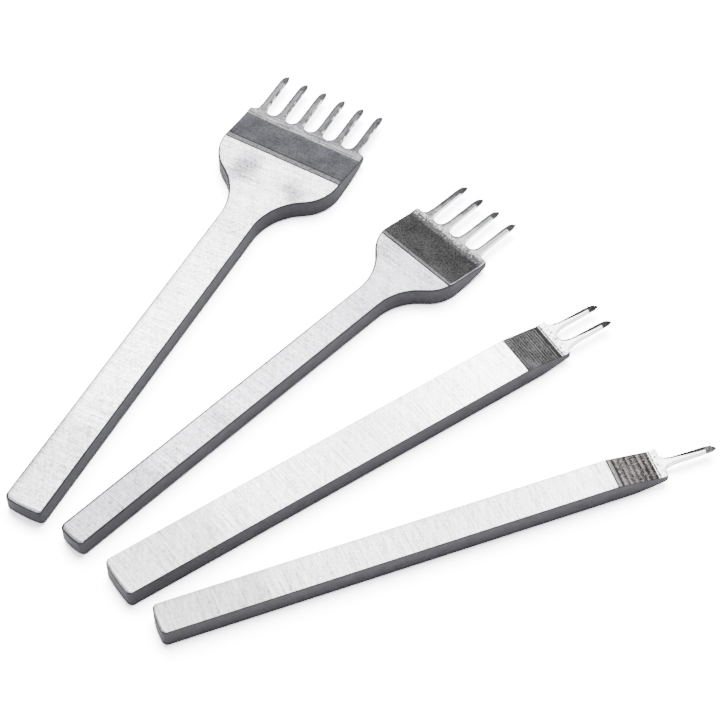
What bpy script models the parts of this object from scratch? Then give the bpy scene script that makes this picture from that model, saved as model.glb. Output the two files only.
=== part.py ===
"""Set of four leather stitching chisels, laid side by side in a fan on their backs.

Each chisel is one piece of tool steel: a flat bar that is struck at its plain end, and that is ground
down at the other end to a thin land with a row of pointed prongs. Three of the four can be lifted away.

In a chisel's own frame +X runs from the struck end to the points, +Y is across and +Z is up from the
face that it lies on. In the row frame +Y is the middle of the fan, towards the points.
"""

import math

import bmesh
import bpy
from mathutils import Vector

MM = 0.001

# The bar and its front end, the same on all four chisels
BAR_THICKNESS = 4.2 * MM
PRONG_PITCH = 4.0 * MM
PRONG_LENGTH = 9.9 * MM
LAND_LENGTH = 1.65 * MM
BAND_LENGTH = 7.5 * MM
BAND_DROP = 1.55 * MM
RELIEF_LENGTH = 7.6 * MM
RELIEF_RISE = 1.25 * MM

# One prong
PRONG_ROOT_WIDTH = 1.4 * MM
PRONG_END_WIDTH = 1.1 * MM
PRONG_END_THICKNESS = 1.1 * MM
POINT_LENGTH = 2.0 * MM
POINT_BLUNT = 0.16 * MM
POINT_HEIGHT = 2.0 * MM
GAP_RADIUS = (PRONG_PITCH - PRONG_ROOT_WIDTH) / 2
SHOULDER_RADIUS = 1.1 * MM

# The struck end and the corners of the head
BUTT_CORNER = 0.9 * MM
BUTT_CROWN = 0.15 * MM
HEAD_CORNER = 0.45 * MM
ARC_STEP = math.radians(7.5)

# The neck between the shank and a wide head
NECK_HOLLOW_SHARE = 0.58

# Sizes in mm. shank is the width at the struck end and waist the width where the neck starts; neck is
# where it starts and flare how far it runs. place is the struck end's middle, and turn is the angle in
# degrees from the row's +Y towards -X.
CHISELS = {
    "six_prong_chisel": {
        "prongs": 6, "length": 104.1, "shank": 7.2, "waist": 6.8, "head": 24.3,
        "neck": 68.9, "flare": 16.0, "place": (-9.35, -51.2), "turn": 20.65,
    },
    "four_prong_chisel": {
        "prongs": 4, "length": 100.5, "shank": 5.2, "waist": 5.1, "head": 17.5,
        "neck": 69.6, "flare": 13.3, "place": (0.45, -48.6), "turn": 4.9,
    },
    "two_prong_chisel": {
        "prongs": 2, "length": 99.0, "shank": 7.8, "waist": 7.8, "head": 7.8,
        "neck": 0.0, "flare": 0.0, "place": (11.75, -47.5), "turn": -6.3,
    },
    "one_prong_chisel": {
        "prongs": 1, "length": 99.3, "shank": 5.8, "waist": 5.8, "head": 5.8,
        "neck": 0.0, "flare": 0.0, "place": (22.25, -47.1), "turn": -19.5,
    },
}

STEEL_COLOUR = (0.62, 0.62, 0.63, 1.0)
STEEL_ROUGHNESS = 0.35
OVERHANG = 2.0 * MM
SAME_POINT = 0.001 * MM


def clear_scene():
    for item in list(bpy.data.objects):
        bpy.data.objects.remove(item, do_unlink=True)


def new_collection(name):
    collection = bpy.data.collections.new(name)
    bpy.context.scene.collection.children.link(collection)
    return collection


def steel_material(name):
    """Ground tool steel."""
    material = bpy.data.materials.new(name)
    material.use_nodes = True
    shader = material.node_tree.nodes["Principled BSDF"]
    shader.inputs["Base Color"].default_value = STEEL_COLOUR
    shader.inputs["Metallic"].default_value = 1.0
    shader.inputs["Roughness"].default_value = STEEL_ROUGHNESS
    return material


def arc(centre, radius, start, end):
    """Points of an arc from angle start to angle end, both included."""
    steps = max(2, math.ceil(abs(end - start) / ARC_STEP))
    points = []
    for i in range(steps + 1):
        angle = start + (end - start) * i / steps
        points.append((centre[0] + radius * math.cos(angle), centre[1] + radius * math.sin(angle)))
    return points


def mirrored(points):
    """The same points on the other side of the centre line, in the opposite order."""
    return [(x, -y) for x, y in reversed(points)]


def struck_end(shank):
    """Right half of the slightly crowned end with its rounded corner, from the middle outwards."""
    half = shank / 2
    flat_half = half - BUTT_CORNER
    crown_radius = (flat_half**2 + BUTT_CROWN**2) / (2 * BUTT_CROWN)
    spread = math.asin(flat_half / crown_radius)
    crown = arc((crown_radius, 0.0), crown_radius, math.pi, math.pi + spread)
    corner_centre = (BUTT_CROWN + BUTT_CORNER, -flat_half)
    return crown + arc(corner_centre, BUTT_CORNER, math.pi, 1.5 * math.pi)


def neck(chisel):
    """Right side of the flare from the shank to the head: a hollow arc, then a full one."""
    if chisel["head"] <= chisel["waist"]:
        return []
    rise = (chisel["head"] - chisel["waist"]) / 2 * MM
    run = chisel["flare"] * MM
    lean = 2 * math.atan(rise / run)
    both_radii = run / math.sin(lean)
    hollow = both_radii * NECK_HOLLOW_SHARE
    full = both_radii - hollow
    start = (chisel["neck"] * MM, -chisel["waist"] / 2 * MM)
    end = (start[0] + run, -chisel["head"] / 2 * MM)
    quarter = math.pi / 2
    first = arc((start[0], start[1] - hollow), hollow, quarter, quarter - lean)
    second = arc((end[0], end[1] + full), full, -quarter - lean, -quarter)
    return first + second[1:]


def prong_side(front, tip, middle):
    """Right side of one prong, from its root fillet's end to the point."""
    shoulder_x = tip - POINT_LENGTH
    rise = (PRONG_END_WIDTH - POINT_BLUNT) / 2
    radius = (POINT_LENGTH**2 + rise**2) / (2 * rise)
    down = -math.pi / 2
    sweep = math.asin(POINT_LENGTH / radius)
    point = arc((shoulder_x, middle - PRONG_END_WIDTH / 2 + radius), radius, down, down + sweep)
    return [(front + GAP_RADIUS, middle - PRONG_ROOT_WIDTH / 2)] + point


def front_edge(chisel):
    """The land's front edge and the prongs, from the right corner to the left one."""
    tip = chisel["length"] * MM
    front = tip - PRONG_LENGTH
    count = chisel["prongs"]
    half_head = chisel["head"] / 2 * MM
    half_row = (count - 1) / 2 * PRONG_PITCH
    row_edge = half_row + PRONG_ROOT_WIDTH / 2
    shoulder_radius = min(SHOULDER_RADIUS, half_head - HEAD_CORNER - row_edge)
    quarter = math.pi / 2
    corner = arc((front - HEAD_CORNER, -half_head + HEAD_CORNER), HEAD_CORNER, -quarter, 0.0)
    shoulder_centre = (front + shoulder_radius, -row_edge - shoulder_radius)
    right = corner + arc(shoulder_centre, shoulder_radius, 2 * quarter, quarter)
    points = list(right)
    for number in range(count):
        middle = -half_row + number * PRONG_PITCH
        side = prong_side(front, tip, middle)
        points += side + [(x, 2 * middle - y) for x, y in reversed(side)]
        if number < count - 1:
            gap_centre = (front + GAP_RADIUS, middle + PRONG_PITCH / 2)
            points += arc(gap_centre, GAP_RADIUS, -quarter, -3 * quarter)
    return points + mirrored(right)


def without_repeats(points):
    """The outline with each point that lies on the one before it left out."""
    kept = [points[0]]
    for point in points[1:]:
        if math.dist(point, kept[-1]) > SAME_POINT:
            kept.append(point)
    return kept


def plan(chisel):
    """Closed outline of a chisel seen from above."""
    side = struck_end(chisel["shank"] * MM) + neck(chisel)
    return without_repeats(side + front_edge(chisel) + mirrored(side))[:-1]


def profile(chisel):
    """Closed outline of a chisel seen from its right side: X and height."""
    tip = chisel["length"] * MM
    front = tip - PRONG_LENGTH
    land_height = BAR_THICKNESS - BAND_DROP
    relief_radius = (RELIEF_LENGTH**2 + RELIEF_RISE**2) / (2 * RELIEF_RISE)
    relief_sweep = math.asin(RELIEF_LENGTH / relief_radius)
    relief_start = front - RELIEF_LENGTH
    relief = arc((relief_start, relief_radius), relief_radius, -math.pi / 2, -math.pi / 2 + relief_sweep)
    lower = [
        (tip - POINT_LENGTH, POINT_HEIGHT - PRONG_END_THICKNESS / 2),
        (tip, POINT_HEIGHT - POINT_BLUNT / 2),
    ]
    upper = [(x, 2 * POINT_HEIGHT - z) for x, z in reversed(lower)]
    top = [
        (front, land_height),
        (front - LAND_LENGTH, land_height),
        (front - LAND_LENGTH - BAND_LENGTH, BAR_THICKNESS),
        (-OVERHANG, BAR_THICKNESS),
    ]
    return [(-OVERHANG, 0.0)] + relief + lower + upper + top


def extruded(name, outline, half_depth, collection):
    """A mesh from a flat outline with a depth of half_depth to each side of it."""
    curve = bpy.data.curves.new(name, "CURVE")
    curve.dimensions = "2D"
    curve.fill_mode = "BOTH"
    curve.extrude = half_depth
    spline = curve.splines.new("POLY")
    spline.points.add(len(outline) - 1)
    for point, (x, y) in zip(spline.points, outline):
        point.co = (x, y, 0.0, 1.0)
    spline.use_cyclic_u = True
    holder = bpy.data.objects.new(name + "_outline", curve)
    collection.objects.link(holder)
    graph = bpy.context.evaluated_depsgraph_get()
    mesh = bpy.data.meshes.new_from_object(holder.evaluated_get(graph))
    bpy.data.objects.remove(holder, do_unlink=True)
    return weld(name, mesh, collection)


def weld(name, mesh, collection):
    """Joins the outline's loose caps to its walls and puts the mesh on an object."""
    shape = bmesh.new()
    shape.from_mesh(mesh)
    bmesh.ops.remove_doubles(shape, verts=shape.verts, dist=SAME_POINT)
    bmesh.ops.recalc_face_normals(shape, faces=shape.faces)
    shape.to_mesh(mesh)
    shape.free()
    mesh.name = name
    item = bpy.data.objects.new(name, mesh)
    collection.objects.link(item)
    return item


def chisel_body(name, chisel, material, parts, cutters):
    """One chisel: its plan carried up through the bar, kept only inside its side profile."""
    half_depth = BAR_THICKNESS / 2 + OVERHANG
    body = extruded(name, plan(chisel), half_depth, parts)
    for vertex in body.data.vertices:
        vertex.co.z += BAR_THICKNESS / 2
    half_width = chisel["head"] / 2 * MM + OVERHANG
    slab = extruded(name + "_profile", profile(chisel), half_width, cutters)
    for vertex in slab.data.vertices:
        x, height, across = vertex.co
        vertex.co = (x, -across, height)
    slab.hide_render = True
    slab.display_type = "WIRE"
    slab.parent = body
    keep = body.modifiers.new("side_profile", "BOOLEAN")
    keep.operation = "INTERSECT"
    keep.object = slab
    keep.solver = "EXACT"
    body.data.materials.append(material)
    x, y = chisel["place"]
    body.location = (x * MM, y * MM, 0.0)
    body.rotation_euler = (0.0, 0.0, math.radians(90.0 + chisel["turn"]))
    return body


def centre_on_origin(bodies):
    """Moves the whole fan so that the middle of its box stands on the frame's origin."""
    bpy.context.view_layer.update()
    graph = bpy.context.evaluated_depsgraph_get()
    corners = []
    for body in bodies:
        mesh = body.evaluated_get(graph).data
        corners += [body.matrix_world @ vertex.co for vertex in mesh.vertices]
    low = Vector([min(corner[i] for corner in corners) for i in range(2)])
    high = Vector([max(corner[i] for corner in corners) for i in range(2)])
    middle = (low + high) / 2
    for body in bodies:
        body.location.x -= middle.x
        body.location.y -= middle.y


def main():
    clear_scene()
    parts = new_collection("stitching_chisel_set")
    cutters = new_collection("cutters")
    bodies = []
    for name, chisel in CHISELS.items():
        material = steel_material(name + "_steel")
        bodies.append(chisel_body(name, chisel, material, parts, cutters))
    centre_on_origin(bodies)


main()
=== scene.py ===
"""Set of four leather stitching chisels, laid side by side in a fan on a white bench.

Each chisel is drawn in its own frame, with +X from the struck end to the points, +Y to its left and +Z up
from the face that it lies on. When its mesh is finished it is turned and carried to its place in the row.
"""

import math

import bmesh
import bpy
from mathutils import Matrix, Vector, noise


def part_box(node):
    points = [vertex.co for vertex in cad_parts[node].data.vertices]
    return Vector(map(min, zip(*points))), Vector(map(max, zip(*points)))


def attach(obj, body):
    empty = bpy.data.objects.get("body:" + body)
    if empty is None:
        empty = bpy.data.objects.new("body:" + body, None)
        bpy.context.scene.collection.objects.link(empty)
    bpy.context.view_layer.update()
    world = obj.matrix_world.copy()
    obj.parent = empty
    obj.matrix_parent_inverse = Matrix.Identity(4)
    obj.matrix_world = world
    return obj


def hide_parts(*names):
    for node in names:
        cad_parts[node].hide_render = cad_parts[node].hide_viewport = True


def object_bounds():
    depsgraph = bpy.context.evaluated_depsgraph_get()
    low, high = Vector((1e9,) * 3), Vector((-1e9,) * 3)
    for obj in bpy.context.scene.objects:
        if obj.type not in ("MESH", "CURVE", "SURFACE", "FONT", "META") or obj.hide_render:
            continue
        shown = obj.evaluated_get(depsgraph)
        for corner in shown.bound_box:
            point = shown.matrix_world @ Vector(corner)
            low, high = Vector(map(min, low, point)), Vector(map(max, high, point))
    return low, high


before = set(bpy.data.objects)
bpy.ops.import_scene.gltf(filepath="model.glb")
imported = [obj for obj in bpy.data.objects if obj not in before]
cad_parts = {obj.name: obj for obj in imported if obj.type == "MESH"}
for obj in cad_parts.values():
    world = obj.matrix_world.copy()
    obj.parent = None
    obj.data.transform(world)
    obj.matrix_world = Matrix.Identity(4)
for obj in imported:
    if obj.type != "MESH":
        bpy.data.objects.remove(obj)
cad_low, cad_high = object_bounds()


# ---------------------------------------------------------------------------------------------------------
# Six-prong chisel
# One forging of tool steel: a flat bar whose front is spread into a wide head, ground down on a sloping
# band to a thin land, with six prongs sawn and filed from the land. The plain end is struck with a mallet.
# ---------------------------------------------------------------------------------------------------------

MM = 0.001
QUARTER = math.pi / 2
SAME_POINT = 0.0005 * MM

BAR_THICKNESS = 4.2 * MM
HALF_THICKNESS = BAR_THICKNESS / 2
RIM_STEPS = 3
ARC_STEP = math.radians(5.0)
BUTT_CORNER = 0.9 * MM
BUTT_CROWN = 0.15 * MM
BUTT_STEPS = 6
BUTT_REACH = 4
HOLLOW_SHARE = 0.58

PRONG_PITCH = 4.0 * MM
PRONG_LENGTH = 9.9 * MM
PRONG_ROOT_WIDTH = 1.4 * MM
GAP_RADIUS = (PRONG_PITCH - PRONG_ROOT_WIDTH) / 2
SHOULDER_RADIUS = 1.1 * MM


def straight(shape, end, x, y):
    """Carries an outline on to the point x, y, and gives its new end."""
    end = bmesh.ops.extrude_vert_indiv(shape, verts=[end])["verts"][0]
    end.co = (x, y, 0.0)
    return end


def curve(shape, end, x, y, sweep):
    """Carries an outline round the centre x, y through an angle, and gives its new end."""
    steps = max(2, math.ceil(abs(sweep) / ARC_STEP))
    turned = bmesh.ops.spin(
        shape, geom=[end], cent=(x, y, 0.0), axis=(0.0, 0.0, 1.0), angle=sweep, steps=steps
    )
    return turned["geom_last"][0]


def draw_bar(shape, tool):
    """Left half of the outline, from the middle of the struck end to the front corner of the head."""
    flat_half = tool["shank"] / 2 - BUTT_CORNER
    crown_radius = (flat_half**2 + BUTT_CROWN**2) / (2 * BUTT_CROWN)
    end = shape.verts.new((0.0, 0.0, 0.0))
    end = curve(shape, end, crown_radius, 0.0, -math.asin(flat_half / crown_radius))
    end = curve(shape, end, BUTT_CROWN + BUTT_CORNER, flat_half, -QUARTER)
    half_waist = tool["waist"] / 2
    half_head = tool["head"] / 2
    if half_head > half_waist:
        lean = 2 * math.atan((half_head - half_waist) / tool["flare"])
        both_radii = tool["flare"] / math.sin(lean)
        hollow = both_radii * HOLLOW_SHARE
        full = both_radii - hollow
        end = straight(shape, end, tool["neck"], half_waist)
        end = curve(shape, end, tool["neck"], half_waist + hollow, lean)
        end = curve(shape, end, tool["neck"] + tool["flare"], half_head - full, -lean)
    corner_x = tool["front"] - tool["corner"]
    end = straight(shape, end, corner_x, half_head)
    return curve(shape, end, corner_x, half_head - tool["corner"], -QUARTER)


def draw_front(shape, end, tool):
    """The left half's front edge: shoulder, prong stubs and the round bottoms of the gaps."""
    half_row = (tool["prongs"] - 1) / 2 * PRONG_PITCH
    row_edge = half_row + PRONG_ROOT_WIDTH / 2
    radius = min(SHOULDER_RADIUS, tool["head"] / 2 - tool["corner"] - row_edge)
    if end.co.y - row_edge - radius > SAME_POINT:
        end = straight(shape, end, tool["front"], row_edge + radius)
    end = curve(shape, end, tool["front"] + radius, row_edge + radius, QUARTER)
    for number in range((tool["prongs"] + 1) // 2):
        middle = half_row - number * PRONG_PITCH
        end = straight(shape, end, tool["stub"], middle + PRONG_ROOT_WIDTH / 2)
        if middle < SAME_POINT:
            return straight(shape, end, tool["stub"], 0.0)
        end = straight(shape, end, tool["stub"], middle - PRONG_ROOT_WIDTH / 2)
        sweep = QUARTER if middle < PRONG_PITCH else 2 * QUARTER
        end = curve(shape, end, tool["stub"], middle - PRONG_PITCH / 2, sweep)
    return end


def blank(tool):
    """The bar as a plate of even thickness with eased rims and square prong stubs."""
    shape = bmesh.new()
    draw_front(shape, draw_bar(shape, tool), tool)
    bmesh.ops.mirror(
        shape, geom=shape.verts[:] + shape.edges[:], matrix=Matrix(), merge_dist=SAME_POINT, axis="Y"
    )
    bmesh.ops.remove_doubles(shape, verts=shape.verts[:], dist=SAME_POINT)
    bmesh.ops.edgeloop_fill(shape, edges=shape.edges[:])
    spare = [v for v in shape.verts if abs(v.co.y) < SAME_POINT and abs(v.co.x - tool["stub"]) < SAME_POINT]
    bmesh.ops.dissolve_verts(shape, verts=spare)
    plan = shape.faces[:]
    raised = bmesh.ops.extrude_face_region(shape, geom=plan)["geom"]
    raised = [item for item in raised if isinstance(item, bmesh.types.BMVert)]
    bmesh.ops.translate(shape, verts=raised, vec=(0.0, 0.0, BAR_THICKNESS))
    rims = []
    for edge in shape.edges:
        first, second = edge.verts
        level = abs(first.co.z - second.co.z) < SAME_POINT
        on_stub = min(first.co.x, second.co.x) > tool["stub"] - SAME_POINT
        if level and not on_stub:
            rims.append(edge)
    bmesh.ops.bevel(
        shape, geom=rims, offset=tool["rim"], offset_type="OFFSET", segments=RIM_STEPS, profile=0.5,
        affect="EDGES", material=-1, clamp_overlap=False,
    )
    bmesh.ops.recalc_face_normals(shape, faces=shape.faces[:])
    return shape


def round_butt(shape, lower, upper):
    """Rounds the lower and the upper edge of the struck end to two radii."""
    reach = BUTT_REACH * lower
    for step in range(1, BUTT_STEPS):
        share = 1 - math.cos(QUARTER * step / BUTT_STEPS)
        for level in (lower * share, BAR_THICKNESS - upper * share):
            near = {vertex for vertex in shape.verts if vertex.co.x < reach}
            verts = [vertex for vertex in shape.verts if vertex in near]
            edges = [edge for edge in shape.edges if near.issuperset(edge.verts)]
            faces = [face for face in shape.faces if near.issuperset(face.verts)]
            bmesh.ops.bisect_plane(
                shape, geom=verts + edges + faces, dist=SAME_POINT, plane_co=(0.0, 0.0, level),
                plane_no=(0.0, 0.0, 1.0),
            )
    for vertex in shape.verts:
        x, y, z = vertex.co
        if x < reach:
            below = max(lower - z, 0.0)
            above = max(z - BAR_THICKNESS + upper, 0.0)
            back = lower - math.sqrt(lower**2 - below**2) + upper - math.sqrt(upper**2 - above**2)
            vertex.co.x += back * (1 - x / reach)


LAND_LENGTH = 1.65 * MM
BAND_LENGTH = 7.5 * MM
BAND_DROP = 1.55 * MM
RELIEF_LENGTH = 7.6 * MM
RELIEF_RISE = 1.25 * MM
RELIEF_RADIUS = (RELIEF_LENGTH**2 + RELIEF_RISE**2) / (2 * RELIEF_RISE)
RELIEF_STEPS = 8


def cut_across(shape, x):
    """Cuts the whole mesh straight across at x."""
    everything = shape.verts[:] + shape.edges[:] + shape.faces[:]
    bmesh.ops.bisect_plane(
        shape, geom=everything, dist=SAME_POINT, plane_co=(x, 0.0, 0.0), plane_no=(1.0, 0.0, 0.0)
    )


def grind_down(shape, tool):
    """Slopes the top down to the land, hollows the underside, and cuts the scribed lines."""
    for x in (tool["band_back"], tool["band_front"]):
        cut_across(shape, x)
    relief_start = tool["front"] - RELIEF_LENGTH
    for step in range(RELIEF_STEPS + 1):
        cut_across(shape, relief_start + RELIEF_LENGTH * step / RELIEF_STEPS)
    for x, half_width, _ in tool["lines"]:
        for offset in (-half_width, 0.0, half_width):
            cut_across(shape, x + offset)
    for vertex in shape.verts:
        x = vertex.co.x
        if vertex.co.z > HALF_THICKNESS:
            share = (x - tool["band_back"]) / BAND_LENGTH
            vertex.co.z -= BAND_DROP * min(max(share, 0.0), 1.0)
            for line_x, _, depth in tool["lines"]:
                if abs(x - line_x) < SAME_POINT:
                    vertex.co.z -= depth
        elif x > relief_start:
            run = min(x - relief_start, RELIEF_LENGTH)
            vertex.co.z += RELIEF_RADIUS - math.sqrt(RELIEF_RADIUS**2 - run**2)


FACES_FRONT = 0.9
PRONG_SIDES = 24
PRONG_TAPER = ((0.4 * MM, 0.25), (1.5 * MM, 0.6))
WORN_EDGE = 3.0
SHARP_EDGE = 12.0
PRONG_THICKNESS = 1.1 * MM
POINT_HEIGHT = 2.0 * MM
NOSE_LENGTH = 2.3 * MM
NOSE_FULLNESS = 2.2
NOSE_BLUNT = 0.16 * MM
NOSE_LEAN = 0.25 * MM
PAINTED_NOSE_LENGTH = 2.05 * MM
NOSE_STATIONS = (0.89, 0.76, 0.63, 0.5, 0.38, 0.27, 0.17, 0.09, 0.03, 0.0)


def drawn_out(shape, face, x, middle, half_width, half_height, reach):
    """Draws a prong's end face out to x, as a square block turned down to a radius of reach.

    The block's upper right edge is sharp, and the other three are worn round.
    """
    drawn = bmesh.ops.extrude_face_region(shape, geom=[face])["geom"]
    bmesh.ops.delete(shape, geom=[face], context="FACES_ONLY")
    face = [item for item in drawn if isinstance(item, bmesh.types.BMFace)][0]
    step = 2 * math.pi / PRONG_SIDES

    def angle(vertex):
        around = math.atan2(vertex.co.z - POINT_HEIGHT, vertex.co.y - middle)
        return (around + step / 2) % (2 * math.pi)

    for number, vertex in enumerate(sorted(face.verts, key=angle)):
        around = number * step
        across = math.cos(around)
        upward = math.sin(around)
        power = SHARP_EDGE if across < 0.0 < upward else WORN_EDGE
        square = abs(across / half_width) ** power + abs(upward / half_height) ** power
        radius = min(square ** (-1 / power), reach)
        vertex.co = (x, middle + radius * across, POINT_HEIGHT + radius * upward)
    return face


def draw_prongs(shape, tool):
    """Draws each stub out into a flat-topped prong with a bullet nose, filed more on its left."""
    half_row = (tool["prongs"] - 1) / 2 * PRONG_PITCH
    root = tool["stub"]
    nose = tool["length"] - NOSE_LENGTH
    half_width = tool["prong_width"] / 2
    half_height = PRONG_THICKNESS / 2
    full = math.hypot(half_width, half_height)
    for number in range(tool["prongs"]):
        middle = half_row - number * PRONG_PITCH
        for face in shape.faces:
            centre = face.calc_center_median()
            at_root = abs(centre.x - root) < SAME_POINT and abs(centre.y - middle) < MM
            if at_root and face.normal.x > FACES_FRONT:
                break
        flats = [edge for edge in face.edges if edge.calc_length() > PRONG_ROOT_WIDTH / 3]
        bmesh.ops.subdivide_edges(shape, edges=flats, cuts=2)
        for run, share in (*PRONG_TAPER, (nose - root, 1.0)):
            wide = PRONG_ROOT_WIDTH / 2 * (1 - share) + half_width * share
            high = PRONG_ROOT_WIDTH / 2 * (1 - share) + half_height * share
            face = drawn_out(shape, face, root + run, middle, wide, high, PRONG_ROOT_WIDTH)
        for station in NOSE_STATIONS:
            reach = NOSE_BLUNT + (full - NOSE_BLUNT) * (1 - (1 - station) ** NOSE_FULLNESS)
            x = tool["length"] - NOSE_LENGTH * station
            lean = NOSE_LEAN * (1 - station) ** 2
            face = drawn_out(shape, face, x, middle - lean, half_width - lean, half_height, reach)


GROUND_TOP, DARK_SIDE_AND_PAINTED_SHADE, BAND, LAND, PRONG_TOP, PRONG_FLANK, NOSE = range(7)

# How far the normal of a face has to point to a side for the face to count as turned that way.
PRONG_UP = 0.85
PRONG_UNDER = -0.3
PRONG_LEFT = 0.15
GAP_BOTTOM = 0.85
BAR_UP = 0.8
RIM_SIDEWAYS = 0.1


def prong_finish(face, x, tool):
    """Which finish a face in front of the land takes; faces turned left, turned down and at the gap bottoms
    take painted shade.
    """
    # Painted shade: the last part of each prong takes the dark nose finish.
    if x > tool["length"] - PAINTED_NOSE_LENGTH:
        return NOSE
    normal = face.normal
    # Painted shade: prong faces turned to the left and the faces at the bottoms of the gaps take the dark
    # side.
    if normal.z > PRONG_UNDER and (normal.y > PRONG_LEFT or normal.x > GAP_BOTTOM):
        return DARK_SIDE_AND_PAINTED_SHADE
    # Painted shade: faces on the right that turn down under the prongs take the dark side.
    if normal.y < 0.0 and normal.z < tool["under_dark"]:
        return DARK_SIDE_AND_PAINTED_SHADE
    return PRONG_TOP if normal.z > PRONG_UP else PRONG_FLANK


def finish_faces(shape, tool):
    """Gives each face the finish of its part of the tool; left rims take painted shade, some right rims a
    painted highlight.
    """
    shape.normal_update()
    for face in shape.faces:
        face.smooth = True
        x = face.calc_center_median().x
        # Painted shade on the top's left rims, and a painted highlight on its right rims where the tool has
        # one.
        painted_shade_rim = face.normal.y > RIM_SIDEWAYS and face.normal.z > 0.0
        painted_highlight_rim = face.normal.y < -RIM_SIDEWAYS and tool["bright_rim"]
        if x > tool["front"] + SAME_POINT:
            face.material_index = prong_finish(face, x, tool)
        elif abs(face.normal.z) < BAR_UP or painted_shade_rim:
            face.material_index = DARK_SIDE_AND_PAINTED_SHADE
        elif face.normal.z < 0 or x < tool["band_back"] or painted_highlight_rim:
            face.material_index = GROUND_TOP
        elif x < tool["band_front"]:
            face.material_index = BAND
        else:
            face.material_index = LAND


def roughen(shape, tool):
    """Cuts the band's top into a fine grid and presses its grinding marks into it."""
    half_head = tool["head"] / 2
    along = round(BAND_LENGTH / tool["grid_along"])
    across = round(tool["head"] / tool["grid_across"])
    cuts = []
    for i in range(1, along):
        cuts.append(((tool["band_back"] + BAND_LENGTH * i / along, 0.0, 0.0), (1.0, 0.0, 0.0)))
    for i in range(1, across):
        cuts.append(((0.0, -half_head + tool["head"] * i / across, 0.0), (0.0, 1.0, 0.0)))
    for place, direction in cuts:
        faces = [face for face in shape.faces if face.material_index == BAND]
        edges = dict.fromkeys(edge for face in faces for edge in face.edges)
        verts = dict.fromkeys(vertex for face in faces for vertex in face.verts)
        bmesh.ops.bisect_plane(
            shape, geom=[*verts, *edges, *faces], dist=SAME_POINT, plane_co=place, plane_no=direction
        )
    marked = {vertex for face in shape.faces if face.material_index == BAND for vertex in face.verts}
    for vertex in marked:
        x, y, z = vertex.co
        if tool["band_back"] + SAME_POINT < x < tool["band_front"] - SAME_POINT:
            vertex.co.z += tool["marks"](x / MM, y / MM) * MM


def make_chisel(tool):
    """One finished chisel, replacing its CAD node and riding on its body."""
    tool["front"] = tool["length"] - PRONG_LENGTH
    tool["stub"] = tool["front"] + GAP_RADIUS
    tool["band_front"] = tool["front"] - LAND_LENGTH
    tool["band_back"] = tool["band_front"] - BAND_LENGTH
    shape = blank(tool)
    round_butt(shape, tool["butt_lower"], tool["butt_upper"])
    grind_down(shape, tool)
    draw_prongs(shape, tool)
    bmesh.ops.recalc_face_normals(shape, faces=shape.faces[:])
    finish_faces(shape, tool)
    roughen(shape, tool)
    turn = Matrix.Rotation(math.radians(90.0 + tool["turn"]), 4, "Z")
    bmesh.ops.transform(shape, matrix=turn, verts=shape.verts[:])
    low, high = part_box(tool["node"])
    own_low = Vector([min(vertex.co[i] for vertex in shape.verts) for i in range(3)])
    own_high = Vector([max(vertex.co[i] for vertex in shape.verts) for i in range(3)])
    place = (low + high - own_low - own_high) / 2
    place.z = low.z
    bmesh.ops.translate(shape, verts=shape.verts[:], vec=place)
    mesh = bpy.data.meshes.new(tool["name"])
    shape.to_mesh(mesh)
    shape.free()
    chisel = bpy.data.objects.new(tool["name"], mesh)
    bpy.context.scene.collection.objects.link(chisel)
    for material in finishes(tool, place):
        mesh.materials.append(material)
    even = chisel.modifiers.new("even_shading", "WEIGHTED_NORMAL")
    even.keep_sharp = True
    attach(chisel, tool["body"])
    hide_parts(tool["node"])


OBJECT_COORDINATES = 3
MIX_FACTOR = 0
MIX_FIRST = 6
MIX_SECOND = 7
MIX_COLOUR = 2


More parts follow.
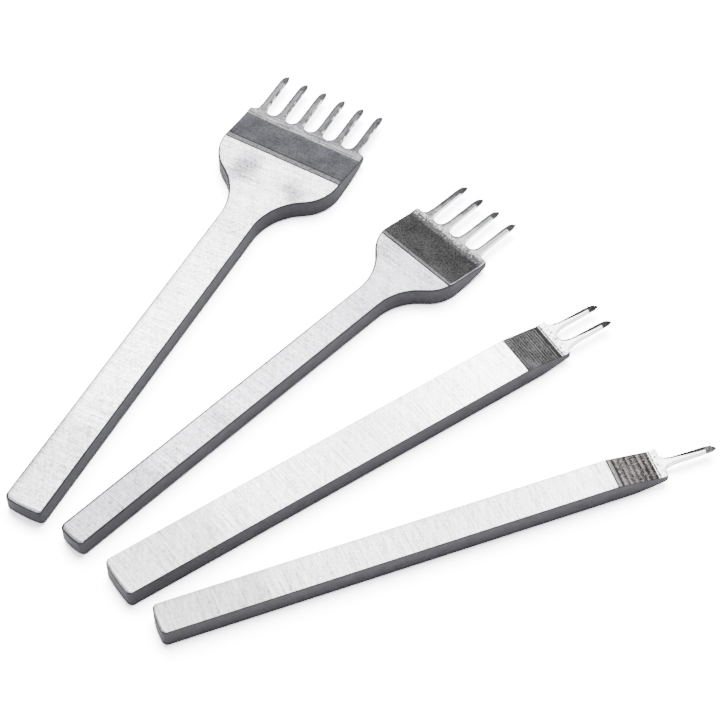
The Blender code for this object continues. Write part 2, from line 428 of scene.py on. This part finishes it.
class Wire:
    """A shader socket. A sum on it adds Math nodes, and node() adds any other node to its material."""

    def __init__(self, tree, socket=None):
        self.tree = tree
        self.socket = socket

    def node(self, kind, settings, inputs, output=0):
        """A new node, with its settings made first and its sockets given values or links."""
        made = self.tree.nodes.new(kind)
        for name, value in settings.items():
            setattr(made, name, value)
        for name, value in inputs.items():
            if isinstance(value, Wire):
                self.tree.links.new(value.socket, made.inputs[name])
            else:
                made.inputs[name].default_value = value
        return Wire(self.tree, made.outputs[output] if made.outputs else None)

    def maths(self, operation, *others):
        """A Math node on this value, and on the others that its operation takes."""
        return self.node("ShaderNodeMath", {"operation": operation}, dict(enumerate((self, *others))))

    def __add__(self, other):
        return self.maths("ADD", other)

    def __radd__(self, other):
        return self.maths("ADD", other)

    def __sub__(self, other):
        return self.maths("SUBTRACT", other)

    def __rsub__(self, other):
        return self.node("ShaderNodeMath", {"operation": "SUBTRACT"}, {0: other, 1: self})

    def __mul__(self, other):
        return self.maths("MULTIPLY", other)

    def __rmul__(self, other):
        return self.maths("MULTIPLY", other)

    def __truediv__(self, other):
        return self.maths("DIVIDE", other)

    def between(self, low, high):
        """0 below low, 1 above high, and an eased step from one to the other."""
        settings = {"interpolation_type": "SMOOTHSTEP"}
        inputs = {"Value": self, "From Min": low, "From Max": high}
        return self.node("ShaderNodeMapRange", settings, inputs)

    def noise(self, scale, detail=2.0, roughness=0.5):
        """Cloudy pattern on these coordinates, from 0 to 1."""
        inputs = {"Vector": self, "Scale": scale, "Detail": detail, "Roughness": roughness}
        return self.node("ShaderNodeTexNoise", {}, inputs)

    def along(self, turn, length, width):
        """These coordinates for marks that run at an angle to the chisel, with a length and a width."""
        inputs = {"Vector": self, "Rotation": (0.0, 0.0, math.radians(turn)), "Scale": (length, width, 1.0)}
        return self.node("ShaderNodeMapping", {"vector_type": "TEXTURE"}, inputs)

    def part(self, axis):
        """One coordinate of a vector, with 0 for X, 1 for Y and 2 for Z."""
        return self.node("ShaderNodeSeparateXYZ", {}, {"Vector": self}, axis)

    def blend(self, shade, other):
        """The first colour where this is 0, the second where it is 1."""
        made = self.node("ShaderNodeMix", {"data_type": "RGBA"}, {MIX_FACTOR: self}, MIX_COLOUR)
        for index, value in ((MIX_FIRST, shade), (MIX_SECOND, other)):
            target = made.socket.node.inputs[index]
            if isinstance(value, Wire):
                self.tree.links.new(value.socket, target)
            else:
                target.default_value = (*value, 1.0)
        return made


def begin(name, tool, place):
    """A new material, and coordinates in mm on the chisel: X along it from the struck end, Y across."""
    material = bpy.data.materials.new(tool["name"] + "_" + name)
    material.use_nodes = True
    material.node_tree.nodes.clear()
    start = Wire(material.node_tree)
    position = start.node("ShaderNodeTexCoord", {}, {}, OBJECT_COORDINATES)
    inputs = {
        "Vector": position,
        "Location": place,
        "Rotation": (0.0, 0.0, math.radians(90.0 + tool["turn"])),
        "Scale": (MM, MM, MM),
    }
    return material, position.node("ShaderNodeMapping", {"vector_type": "TEXTURE"}, inputs)


def steel(material, shade, metallic, gloss, roughness, height, lift):
    """Ends a material in a steel shader with a fine relief. Gloss is how much its oxide shines."""
    relief = height.node("ShaderNodeBump", {}, {"Strength": 1.0, "Distance": lift * MM, "Height": height})
    inputs = {
        "Base Color": shade, "Metallic": metallic, "Specular IOR Level": gloss, "Roughness": roughness,
        "Normal": relief,
    }
    shader = height.node("ShaderNodeBsdfPrincipled", {}, inputs)
    height.node("ShaderNodeOutputMaterial", {}, {"Surface": shader})
    return material


# Painted shade: the scribed grooves are cut into the mesh, and their colour is painted dark for the shade
# in them.
SCRIBED_PAINTED_SHADE = (0.012, 0.012, 0.012)
SCRIBED_WANDER = 0.12
SCRIBED_CORE = 0.6
SCRIBED_EDGE = 1.4


def scribed(spot, tool):
    """1 on the scribed lines, painted dark as the shade in their grooves, and 0 away from them, with a
    little wander.
    """
    x = spot.part(0) + (spot.noise(1.5) - 0.5) * SCRIBED_WANDER
    mask = 0.0
    for line, half_width, _ in tool["lines"]:
        distance = (x - line / MM).maths("ABSOLUTE")
        core = SCRIBED_CORE * half_width / MM
        edge = SCRIBED_EDGE * half_width / MM
        mask = mask + (1 - distance.between(core, edge))
    return mask


TOP_DARK = (0.02, 0.02, 0.02)
TOP_ROUGHNESS = 0.34
BELT_TURN = 94.0
HEAD_FROM = 50.0
HEAD_TO = 6.0
WORN_FROM = 14.0
WORN_TO = 30.0
WORN_WANDER = 12.0
WORN_LEVEL = 0.54
LEFT_FROM = 0.3
LEFT_TO = 0.52
LINE_SOFTNESS = 0.05


def ground_top(tool, place):
    """Bright face, belt-ground across and scratched in use, duller near the struck end; painted shade at
    its left.
    """
    material, spot = begin("ground_top", tool, place)
    across = spot.along(turn=BELT_TURN, length=6.0, width=0.3).noise(1.0, 3.0, 0.65)
    scratches = spot.along(tool["scratch_turn"], length=9.0, width=0.4).noise(1.0, 3.0, 0.65)
    speckle = spot.noise(3.2, 3.0, 0.7)
    patches = spot.noise(0.16, 2.0)
    bar_level, head_level = tool["top_levels"]
    x = spot.part(0)
    y = spot.part(1)
    width = tool["shank"] / MM
    head = x.between(HEAD_FROM, tool["band_back"] / MM - HEAD_TO)
    worn = (x + (patches - 0.5) * WORN_WANDER).between(WORN_FROM, WORN_TO)
    # Painted shade: on the bar, the top darkens towards its left edge.
    left = y.between(LEFT_FROM * width, LEFT_TO * width) * (1 - head)
    level = bar_level + head * (head_level - bar_level)
    grain = (across - 0.5) * 2.0 + (scratches - 0.5) * 0.8 + (speckle - 0.5) * tool["top_grain"]
    cloud = (patches - 0.5) * (0.3 + head * tool["head_cloud"])
    amount = level * (1 + grain + cloud)
    amount = amount * (WORN_LEVEL + worn * (1 - WORN_LEVEL)) * (1 - left * tool["left_fall"])
    for smudge_x, smudge_y, radius, depth in tool["smudges"]:
        away_x = (x - smudge_x) / radius
        away_y = (y - smudge_y) / radius
        away = (away_x * away_x + away_y * away_y).maths("SQRT") + (patches - 0.5) * 1.2
        amount = amount * (1 - depth * (1 - away.between(0.1, 1.0)))
    # Painted shade: a dark line along the bar's left edge, inside its rim, for the shade of the rim turned
    # away.
    edge = (tool["shank"] / 2 - tool["rim"]) / MM - tool["left_line"]
    line = y.between(edge - LINE_SOFTNESS, edge + LINE_SOFTNESS) * (1 - head)
    amount = amount * (1 - line * tool["line_depth"])
    shade = amount.blend(TOP_DARK, tool["top_tint"])
    shade = scribed(spot, tool).blend(shade, SCRIBED_PAINTED_SHADE)
    roughness = TOP_ROUGHNESS + (speckle - 0.5) * 0.3
    height = across * 0.5 + speckle * 0.5
    return steel(material, shade, metallic=1.0, gloss=0.5, roughness=roughness, height=height, lift=0.012)


SIDE_SHADES = ((0.024, 0.024, 0.026), (0.072, 0.071, 0.079))
# Painted shade on the dark sides: darker towards the bottom, just under the top rim, and on the prongs.
SIDE_PAINTED_SHADE_RISE = (0.2, 3.6)
SIDE_RIM = (0.35, 0.15)
SIDE_RIM_PAINTED_SHADE = 0.8
STRUCK_LENGTH = 22.0
STRUCK_LEVEL = 0.6
PRONG_PAINTED_SHADE = 0.9


def dark_side_and_painted_shade(tool, place):
    """Edge left dark by the heat treatment, with painted shade: darker low down and under the top rim,
    darkest on the prongs.
    """
    material, spot = begin("dark_side_and_painted_shade", tool, place)
    patches = spot.noise(0.3, 3.0)
    grain = spot.noise(3.0, 3.0, 0.7)
    streaks = spot.along(turn=0.0, length=2.5, width=0.5).noise(1.0, 3.0)
    x = spot.part(0)
    z = spot.part(2)
    # Painted shade: darker low on the walls, just under the top rim, and on the prongs.
    painted_shade_rise = z.between(*SIDE_PAINTED_SHADE_RISE)
    rim = z.between(BAR_THICKNESS / MM - SIDE_RIM[0], BAR_THICKNESS / MM - SIDE_RIM[1])
    struck = x.between(0.0, STRUCK_LENGTH)
    prong = x.between(tool["front"] / MM, tool["stub"] / MM)
    amount = 0.25 + painted_shade_rise * 0.45 + (patches - 0.5) * 0.6 + (grain - 0.5) * 0.7 + (streaks - 0.5) * 0.5
    amount = amount * (1 - rim * SIDE_RIM_PAINTED_SHADE) * (STRUCK_LEVEL + struck * (1 - STRUCK_LEVEL))
    amount = amount * (1 - prong * PRONG_PAINTED_SHADE) * tool["side_level"]
    shade = amount.blend(*SIDE_SHADES)
    roughness = 0.55 + (grain - 0.5) * 0.3
    return steel(material, shade, metallic=0.0, gloss=0.08, roughness=roughness, height=grain, lift=0.02)


BAND_LEVEL = 0.45
STRIP_SOFTNESS = 0.1
RIDGE_WANDER = 2.0


def ground_band(tool, place):
    """Sloping band, ground coarsely, grey painted darker as shade, with a paler strip behind and a worn
    front edge.
    """
    material, spot = begin("band", tool, place)
    # Painted shade: the band's grey is painted darker for the shade on its slope.
    dark, light = tool["band_shades"]
    x = spot.part(0)
    front = tool["band_front"] / MM
    grit = spot.noise(tool["band_grit"], 3.0, 0.7)
    lines = spot.along(turn=92.0, length=4.0, width=0.22).noise(1.0, 2.0, 0.6)
    cloud = spot.noise(0.3, 2.0)
    strip_front = tool["pale_strip"]
    strip = 1 - x.between(strip_front - STRIP_SOFTNESS, strip_front + STRIP_SOFTNESS)
    fray = x.between(front - tool["fray_length"], front + 0.1) * grit.between(0.35, 0.65)
    # Painted shade: light and dark stripes in step with the ridges pressed into the band, stronger towards
    # its front.
    phase = (x - tool["ridge_start"]) * (2 * math.pi / tool["ridge_pitch"])
    ridges = (phase + (cloud - 0.5) * RIDGE_WANDER).maths("SINE")
    amount = BAND_LEVEL + (grit - 0.5) * tool["band_contrast"] + (lines - 0.5) * tool["band_lines"]
    share = (x - tool["band_back"] / MM) / (BAND_LENGTH / MM)
    amount = amount + (cloud - 0.5) * 0.8 + ridges * (0.6 + share * 0.8) * tool["ridge_shade"]
    amount = amount + (0.5 - share) * tool["band_slope"]
    pale = strip * grit.between(0.3, 0.55) + fray * tool["band_fray"]
    shade = pale.blend(amount.blend(dark, light), tool["strip_shade"])
    shade = scribed(spot, tool).blend(shade, SCRIBED_PAINTED_SHADE)
    roughness = 0.42 + grit * 0.2
    height = grit * 0.6 + lines * 0.4
    return steel(material, shade, metallic=0.9, gloss=0.5, roughness=roughness, height=height, lift=0.03)


GAP_SPLIT = 0.6
GAP_LINE_WIDTH = 0.08
GAP_LINE_SOFTNESS = 0.07
GAP_LINE_ENDS = (0.4, 0.9)


def painted_gap_shade(spot, tool, far):
    """Painted shade: 1 along the left edges of the prongs and the bottoms of the gaps, wider where far is
    1.
    """
    pitch = PRONG_PITCH / MM
    turns = (spot.part(1) / pitch + (tool["prongs"] / 2 + GAP_SPLIT)).maths("FRACT")
    off = (turns - GAP_SPLIT) * pitch
    short = (spot.part(0) - tool["stub"] / MM).maths("MINIMUM", 0.0)
    away = (short * short + off * off).maths("SQRT") - GAP_RADIUS / MM
    reach = tool["rim"] / MM + GAP_LINE_WIDTH + far * tool["edge_widening"]
    near = 1 - (away - reach).between(-GAP_LINE_SOFTNESS, GAP_LINE_SOFTNESS)
    return near * (1 - off.between(*GAP_LINE_ENDS))


def land_steel(tool, place):
    """Thin flat land behind the prongs, with fine stripes from side to side."""
    material, spot = begin("land", tool, place)
    stripes = spot.along(turn=90.0, length=5.0, width=0.22).noise(1.0, 2.0, 0.6)
    grit = spot.noise(3.2, 3.0, 0.7)
    front = spot.part(0).between(tool["band_front"] / MM - 0.1, tool["front"] / MM - 0.3)
    amount = tool["land_level"] + (stripes - 0.5) * tool["land_stripes"] + (grit - 0.5) * tool["land_grit"]
    amount = amount + (front - 0.5) * tool["land_fade"]
    shade = scribed(spot, tool).blend(amount.blend(*tool["land_shades"]), SCRIBED_PAINTED_SHADE)
    # Painted shade along the bottoms of the gaps.
    shade = painted_gap_shade(spot, tool, 0.0).blend(shade, tool["edge_shade"])
    metallic = tool["land_metal"]
    roughness = 0.36 + grit * 0.14
    height = stripes * 0.5 + grit * 0.5
    return steel(material, shade, metallic, gloss=0.3, roughness=roughness, height=height, lift=0.015)


LIT_EDGE = (0.38, 0.62)
NOSE_REACH = 2.5


def prong_top(tool, place):
    """Upper faces of the prongs, duller towards their points, with a painted lighter right side and painted
    shade at their left edges.
    """
    material, spot = begin("prong_top", tool, place)
    patches = spot.along(turn=0.0, length=1.6, width=0.7).noise(1.0, 2.0)
    grain = spot.noise(2.8, 3.0, 0.7)
    x = spot.part(0)
    y = spot.part(1)
    front = tool["front"] / MM
    nose = tool["length"] / MM - NOSE_REACH
    half_row = tool["prongs"] / 2 * PRONG_PITCH / MM
    across = ((y + half_row) / (PRONG_PITCH / MM)).maths("FRACT")
    # Painted light and shade: each prong top is lighter on its right and darker on its left.
    lit = 1 - across.between(*LIT_EDGE)
    far = x.between(front + 1.0, nose)
    amount = 0.5 + (patches - 0.5) * 1.6 + (grain - 0.5) * 1.0
    amount = amount + (lit - 0.5) * tool["prong_slant"] + (0.5 - far) * tool["prong_fade"]
    amount = amount - y / half_row * tool["prong_row"]
    # Painted shade along the left edges of the prongs, widening towards the noses.
    line = painted_gap_shade(spot, tool, x.between(front - 2.0, nose))
    shade = line.blend(amount.blend(*tool["prong_shades"]), tool["edge_shade"])
    metallic = tool["prong_metal"]
    roughness = 0.35 + grain * 0.15
    return steel(material, shade, metallic, gloss=0.25, roughness=roughness, height=grain, lift=0.015)


FLANK_SHADES = ((0.78, 0.78, 0.79), (0.98, 0.98, 0.98))
FLANK_DULL_SHADE = (0.05, 0.05, 0.052)


def prong_flank(tool, place):
    """Bright sawn flanks of the prongs and of the gaps between them."""
    material, spot = begin("prong_flank", tool, place)
    strokes = spot.along(turn=0.0, length=2.0, width=0.3).noise(1.0, 3.0, 0.6)
    grain = spot.noise(4.0, 3.0, 0.7)
    shade = (strokes * 0.7 + grain * 0.3).blend(*FLANK_SHADES)
    spots = spot.along(turn=0.0, length=0.9, width=0.5).noise(1.0, 2.0)
    dull = spots.between(0.42, 0.5) * tool["flank_dull"]
    shade = dull.blend(shade, FLANK_DULL_SHADE)
    roughness = 0.25 + grain * 0.15
    return steel(material, shade, metallic=1.0, gloss=0.5, roughness=roughness, height=strokes, lift=0.01)


def nose_painted_shade(tool, place):
    """Noses painted dark, as the shade on their faces that turn away from the light."""
    material, spot = begin("nose", tool, place)
    grain = spot.along(turn=90.0, length=0.8, width=0.3).noise(1.0, 3.0, 0.7)
    shade = grain.between(0.3, 0.7).blend(*tool["nose_shades"])
    roughness = 0.4 + grain * 0.15
    return steel(material, shade, metallic=0.2, gloss=0.1, roughness=roughness, height=grain, lift=0.015)


def finishes(tool, place):
    """The seven finishes, in the order that the faces count them."""
    makers = (ground_top, dark_side_and_painted_shade, ground_band, land_steel, prong_top, prong_flank, nose_painted_shade)
    return [maker(tool, place) for maker in makers]


def grit_marks(x, y, depth, along, across, layer):
    """Uneven marks of a depth in mm, with so many to a mm along and across the chisel."""
    return depth * noise.noise(Vector((x * along, y * across, layer)))


def six_marks(x, y):
    """Fine, even grinding marks."""
    return grit_marks(x, y, depth=0.012, along=2.5, across=1.2, layer=0.0)


make_chisel({
    # Name and place.
    "name": "six_prong_tool", "node": "six_prong_chisel", "body": "six_prong", "turn": 20.65,
    # Outline.
    "prongs": 6, "length": 104.1 * MM, "shank": 7.2 * MM, "waist": 6.8 * MM, "head": 24.3 * MM,
    "neck": 68.9 * MM, "flare": 16.0 * MM, "corner": 0.45 * MM, "rim": 0.32 * MM,
    "butt_lower": 1.15 * MM, "butt_upper": 0.5 * MM, "prong_width": 1.3 * MM,
    # Ground top.
    "top_tint": (0.93, 0.93, 0.975), "top_levels": (0.63, 0.42), "top_grain": 3.4, "scratch_turn": 30.0,
    "head_cloud": 1.0, "left_fall": 0.8, "left_line": 0.0, "line_depth": 0.0,
    "smudges": ((80.8, 5.5, 5.0, 0.5), (79.0, -6.2, 4.5, 0.55)),
    # Edges.
    "side_level": 0.58, "under_dark": -0.1, "bright_rim": False,
    # Band.
    "lines": ((84.95 * MM, 0.13 * MM, 0.05 * MM), (86.15 * MM, 0.12 * MM, 0.05 * MM)),
    "marks": six_marks, "grid_along": 0.25 * MM, "grid_across": 0.25 * MM,
    "band_shades": ((0.016, 0.016, 0.018), (0.085, 0.085, 0.092)), "band_grit": 2.4,
    "band_contrast": 1.6, "band_lines": 0.8, "band_slope": -0.1, "pale_strip": 86.0,
    "strip_shade": (0.13, 0.13, 0.134), "band_fray": 0.25, "fray_length": 1.4, "ridge_start": 0.0,
    "ridge_pitch": 1.0, "ridge_shade": 0.0,
    # Land.
    "land_shades": ((0.08, 0.08, 0.085), (0.42, 0.42, 0.44)), "land_metal": 0.1, "land_level": 0.45,
    "land_grit": 3.2, "land_stripes": 4.5, "land_fade": 0.0,
    # Prongs.
    "prong_shades": ((0.03, 0.03, 0.033), (0.26, 0.26, 0.27)), "prong_metal": 0.05, "prong_slant": 0.15,
    "prong_fade": 0.1, "prong_row": -0.3, "edge_shade": (0.03, 0.03, 0.032), "edge_widening": 0.1,
    "flank_dull": 1.0, "nose_shades": ((0.02, 0.02, 0.021), (0.125, 0.125, 0.13)),
})


# ---------------------------------------------------------------------------------------------------------
# Four-prong chisel
# The same forging with a 17.5 mm head on the slimmest bar of the set. Its band is blasted rather than
# ground and painted darkest, partly as shade, and a third of the way along its bar is a small dull patch.
# ---------------------------------------------------------------------------------------------------------


def four_marks(x, y):
    """Pitted, blasted surface."""
    return grit_marks(x, y, depth=0.02, along=3.5, across=3.5, layer=7.0)


make_chisel({
    # Name and place.
    "name": "four_prong_tool", "node": "four_prong_chisel", "body": "four_prong", "turn": 4.9,
    # Outline.
    "prongs": 4, "length": 100.5 * MM, "shank": 5.2 * MM, "waist": 5.1 * MM, "head": 17.5 * MM,
    "neck": 69.6 * MM, "flare": 13.3 * MM, "corner": 0.45 * MM, "rim": 0.32 * MM,
    "butt_lower": 1.15 * MM, "butt_upper": 0.65 * MM, "prong_width": 1.18 * MM,
    # Ground top.
    "top_tint": (0.93, 0.925, 0.985), "top_levels": (0.37, 0.27), "top_grain": 3.0,
    "scratch_turn": 46.0, "head_cloud": 0.6, "left_fall": 0.3, "left_line": 0.12, "line_depth": 0.95,
    "smudges": ((33.0, 0.0, 3.5, 0.25),),
    # Edges.
    "side_level": 0.96, "under_dark": -0.1, "bright_rim": True,
    # Band.
    "lines": ((81.25 * MM, 0.18 * MM, 0.08 * MM),), "marks": four_marks, "grid_along": 0.25 * MM,
    "grid_across": 0.25 * MM, "band_shades": ((0.002, 0.002, 0.0025), (0.05, 0.05, 0.0485)),
    "band_grit": 5.0, "band_contrast": 4.5, "band_lines": 0.3, "band_slope": 0.28, "pale_strip": 81.85,
    "strip_shade": (0.11, 0.11, 0.11), "band_fray": 0.8, "fray_length": 0.6, "ridge_start": 0.0,
    "ridge_pitch": 1.0, "ridge_shade": 0.0,
    # Land.
    "land_shades": ((0.015, 0.015, 0.017), (0.6, 0.6, 0.61)), "land_metal": 0.25, "land_level": 0.05,
    "land_grit": 4.5, "land_stripes": 1.5, "land_fade": 1.1,
    # Prongs.
    "prong_shades": ((0.02, 0.02, 0.022), (0.55, 0.55, 0.56)), "prong_metal": 0.15, "prong_slant": 0.5,
    "prong_fade": 0.5, "prong_row": 0.65, "edge_shade": (0.03, 0.03, 0.032), "edge_widening": 0.3,
    "flank_dull": 0.0, "nose_shades": ((0.012, 0.012, 0.013), (0.062, 0.061, 0.062)),
})


# ---------------------------------------------------------------------------------------------------------
# Two-prong chisel
# A straight bar with no wider head, so its band and land run the bar's full width. The band keeps about
# fifteen fine grooves from the grinding wheel, and a crisp line parts it from the bright land.
# ---------------------------------------------------------------------------------------------------------


TWO_GROOVE_START = 79.875
TWO_GROOVE_PITCH = 0.5
TWO_GROOVE_DEPTH = 0.02


def two_marks(x, y):
    """Fine grooves from side to side, not quite even."""
    groove = math.sin(2 * math.pi * (x - TWO_GROOVE_START) / TWO_GROOVE_PITCH)
    grit = grit_marks(x, y, depth=0.015, along=4.0, across=1.5, layer=5.0)
    return TWO_GROOVE_DEPTH * groove + grit


make_chisel({
    # Name and place.
    "name": "two_prong_tool", "node": "two_prong_chisel", "body": "two_prong", "turn": -6.3,
    # Outline.
    "prongs": 2, "length": 99.0 * MM, "shank": 7.8 * MM, "waist": 7.8 * MM, "head": 7.8 * MM,
    "corner": 0.18 * MM, "rim": 0.15 * MM, "butt_lower": 0.5 * MM, "butt_upper": 0.5 * MM,
    "prong_width": 1.12 * MM,
    # Ground top.
    "top_tint": (0.97, 0.97, 0.965), "top_levels": (0.5, 0.78), "top_grain": 2.2, "scratch_turn": 57.0,
    "head_cloud": 0.3, "left_fall": 0.1, "left_line": 0.0, "line_depth": 0.0, "smudges": (),
    # Edges.
    "side_level": 0.95, "under_dark": -0.1, "bright_rim": False,
    # Band.
    "lines": ((87.02 * MM, 0.2 * MM, 0.1 * MM), (87.66 * MM, 0.13 * MM, 0.04 * MM)), "marks": two_marks,
    "grid_along": 0.09 * MM, "grid_across": 0.4 * MM,
    "band_shades": ((0.003, 0.003, 0.003), (0.088, 0.088, 0.087)), "band_grit": 4.5,
    "band_contrast": 3.4, "band_lines": 1.4, "band_slope": 0.2, "pale_strip": 0.0,
    "strip_shade": (0.5, 0.5, 0.5), "band_fray": 1.0, "fray_length": 0.3,
    "ridge_start": TWO_GROOVE_START, "ridge_pitch": TWO_GROOVE_PITCH, "ridge_shade": 0.3,
    # Land.
    "land_shades": ((0.06, 0.06, 0.06), (1.0, 1.0, 1.0)), "land_metal": 1.0, "land_level": 0.75,
    "land_grit": 8.0, "land_stripes": 1.5, "land_fade": 0.2,
    # Prongs.
    "prong_shades": ((0.8, 0.8, 0.8), (1.0, 1.0, 1.0)), "prong_metal": 1.0, "prong_slant": 0.0,
    "prong_fade": 0.0, "prong_row": 0.0, "edge_shade": (0.014, 0.014, 0.014), "edge_widening": 0.65,
    "flank_dull": 0.0, "nose_shades": ((0.005, 0.005, 0.005), (0.028, 0.028, 0.028)),
})


# ---------------------------------------------------------------------------------------------------------
# One-prong chisel
# The narrow straight bar of the set, with a single prong in the middle of its land, for turning corners.
# Its band was ground on a coarser wheel, which left about seven broad ridges.
# ---------------------------------------------------------------------------------------------------------


ONE_RIDGE_START = 81.49
ONE_RIDGE_PITCH = 1.04
ONE_RIDGE_HEIGHT = 0.045


def one_marks(x, y):
    """Broad ridges from side to side with coarse grit between them."""
    ridge = math.sin(2 * math.pi * (x - ONE_RIDGE_START) / ONE_RIDGE_PITCH)
    grit = grit_marks(x, y, depth=0.025, along=4.0, across=3.0, layer=11.0)
    return ONE_RIDGE_HEIGHT * ridge + grit


make_chisel({
    # Name and place.
    "name": "one_prong_tool", "node": "one_prong_chisel", "body": "one_prong", "turn": -19.5,
    # Outline.
    "prongs": 1, "length": 99.3 * MM, "shank": 5.8 * MM, "waist": 5.8 * MM, "head": 5.8 * MM,
    "corner": 0.18 * MM, "rim": 0.15 * MM, "butt_lower": 0.5 * MM, "butt_upper": 0.5 * MM,
    "prong_width": 1.28 * MM,
    # Ground top.
    "top_tint": (0.98, 0.95, 0.94), "top_levels": (0.4, 0.5), "top_grain": 2.2, "scratch_turn": 70.0,
    "head_cloud": 0.4, "left_fall": 0.2, "left_line": 0.0, "line_depth": 0.0, "smudges": (),
    # Edges.
    "side_level": 1.05, "under_dark": -0.01, "bright_rim": False,
    # Band.
   
    "lines": (
        (80.17 * MM, 0.12 * MM, 0.06 * MM),
        (81.12 * MM, 0.18 * MM, 0.06 * MM),
        (87.98 * MM, 0.1 * MM, 0.04 * MM),
    ),
    "marks": one_marks, "grid_along": 0.15 * MM, "grid_across": 0.25 * MM,
    "band_shades": ((0.008, 0.007, 0.0065), (0.145, 0.134, 0.13)), "band_grit": 3.2,
    "band_contrast": 4.5, "band_lines": 1.2, "band_slope": 0.45, "pale_strip": 80.9,
    "strip_shade": (0.15, 0.145, 0.142), "band_fray": 0.0, "fray_length": 0.2,
    "ridge_start": ONE_RIDGE_START, "ridge_pitch": ONE_RIDGE_PITCH, "ridge_shade": 0.3,
    # Land.
    "land_shades": ((0.07, 0.068, 0.066), (1.0, 0.99, 0.98)), "land_metal": 1.0, "land_level": 0.7,
    "land_grit": 5.0, "land_stripes": 1.5, "land_fade": 0.0,
    # Prongs.
    "prong_shades": ((0.8, 0.8, 0.8), (1.0, 1.0, 1.0)), "prong_metal": 1.0, "prong_slant": 0.0,
    "prong_fade": 0.0, "prong_row": 0.0, "edge_shade": (0.014, 0.014, 0.014), "edge_widening": 0.65,
    "flank_dull": 0.0, "nose_shades": ((0.03, 0.03, 0.03), (0.2, 0.2, 0.2)),
})


# ---------------------------------------------------------------------------------------------------------
# White bench, light and camera
# The set lies on white paper under one large soft light that hangs over its far side. The paper shows as
# plain white, while the tools are lit by a duller sheet, so that their edges stay dark, and their
# polished faces mirror a brighter room than the one that lights them.
# ---------------------------------------------------------------------------------------------------------

BENCH_HALF_WIDTH = 4.0
BENCH_GAP = 0.02 * MM
PAPER_SHOWN = (10.0, 10.0, 10.15, 1.0)
PAPER_LIGHTING = (2.5, 2.5, 2.55, 1.0)
SEEN_BY_CAMERA = 0
SEEN_IN_GLOSS = 3
ROOM_TINT = (0.96, 0.97, 1.0, 1.0)
ROOM_LIGHT = 0.3
ROOM_SHOWN = 18.0
ROOM_MIRRORED = 2.0

centre = (cad_low + cad_high) / 2
bench_shape = bmesh.new()
bmesh.ops.create_grid(bench_shape, x_segments=1, y_segments=1, size=BENCH_HALF_WIDTH)
bench_place = (centre.x, centre.y, cad_low.z - BENCH_GAP)
bmesh.ops.translate(bench_shape, verts=bench_shape.verts[:], vec=bench_place)
bench_mesh = bpy.data.meshes.new("bench")
bench_shape.to_mesh(bench_mesh)
bench_shape.free()
bench = bpy.data.objects.new("bench", bench_mesh)
bpy.context.scene.collection.objects.link(bench)

paper = bpy.data.materials.new("paper")
paper.use_nodes = True
paper.node_tree.nodes.clear()
plain = Wire(paper.node_tree)
seen = plain.node("ShaderNodeLightPath", {}, {}, SEEN_BY_CAMERA)
shown = plain.node("ShaderNodeBsdfDiffuse", {}, {"Color": PAPER_SHOWN})
lit_by = plain.node("ShaderNodeBsdfDiffuse", {}, {"Color": PAPER_LIGHTING})
sheet = plain.node("ShaderNodeMixShader", {}, {0: seen, 1: lit_by, 2: shown})
plain.node("ShaderNodeOutputMaterial", {}, {"Surface": sheet})
bench_mesh.materials.append(paper)

world = bpy.data.worlds.new("studio")
bpy.context.scene.world = world
world.use_nodes = True
world.node_tree.nodes.clear()
air = Wire(world.node_tree)
seen = air.node("ShaderNodeLightPath", {}, {}, SEEN_BY_CAMERA)
mirrored = air.node("ShaderNodeLightPath", {}, {}, SEEN_IN_GLOSS)
strength = ROOM_LIGHT + seen * ROOM_SHOWN + mirrored * ROOM_MIRRORED
backdrop = air.node("ShaderNodeBackground", {}, {"Color": ROOM_TINT, "Strength": strength})
air.node("ShaderNodeOutputWorld", {}, {"Surface": backdrop})


def soft_light(name, x, y, height, wide, deep, glow):
    """A level rectangular soft light of a given radiance, shining straight down."""
    lamp = bpy.data.lights.new(name, "AREA")
    lamp.shape = "RECTANGLE"
    lamp.size = wide
    lamp.size_y = deep
    lamp.energy = glow * math.pi * wide * deep
    holder = bpy.data.objects.new(name, lamp)
    holder.location = (x, y, height)
    bpy.context.scene.collection.objects.link(holder)


soft_light("far_side_light", x=-0.43, y=0.345, height=1.0, wide=1.1, deep=0.75, glow=11.0)

AIM = Vector((1.84 * MM, 12.66 * MM, 0.0))
VIEW_TURN = math.radians(50.6)
VIEW_TILT = math.radians(55.38)
VIEW_DISTANCE = 0.45157
VIEW_ROLL = math.radians(0.38)
SENSOR_WIDTH_MM = 36.0
FOCAL_LENGTH_MM = 129.465
CLIP_NEAR = 0.01
CLIP_FAR = 50.0

back = Vector((
    math.sin(VIEW_TURN) * math.cos(VIEW_TILT),
    -math.cos(VIEW_TURN) * math.cos(VIEW_TILT),
    math.sin(VIEW_TILT),
))
right = Vector((math.cos(VIEW_TURN), math.sin(VIEW_TURN), 0.0))
up = back.cross(right)
rolled_right = right * math.cos(VIEW_ROLL) - up * math.sin(VIEW_ROLL)
rolled_up = right * math.sin(VIEW_ROLL) + up * math.cos(VIEW_ROLL)
lens = bpy.data.cameras.new("camera")
lens.sensor_width = SENSOR_WIDTH_MM
lens.lens = FOCAL_LENGTH_MM
lens.clip_start = CLIP_NEAR
lens.clip_end = CLIP_FAR
camera = bpy.data.objects.new("camera", lens)
camera.rotation_mode = "QUATERNION"
camera.rotation_quaternion = Matrix((rolled_right, rolled_up, back)).transposed().to_quaternion()
camera.location = Vector((centre.x, centre.y, 0.0)) + AIM + back * VIEW_DISTANCE
bpy.context.scene.collection.objects.link(camera)
bpy.context.scene.camera = camera
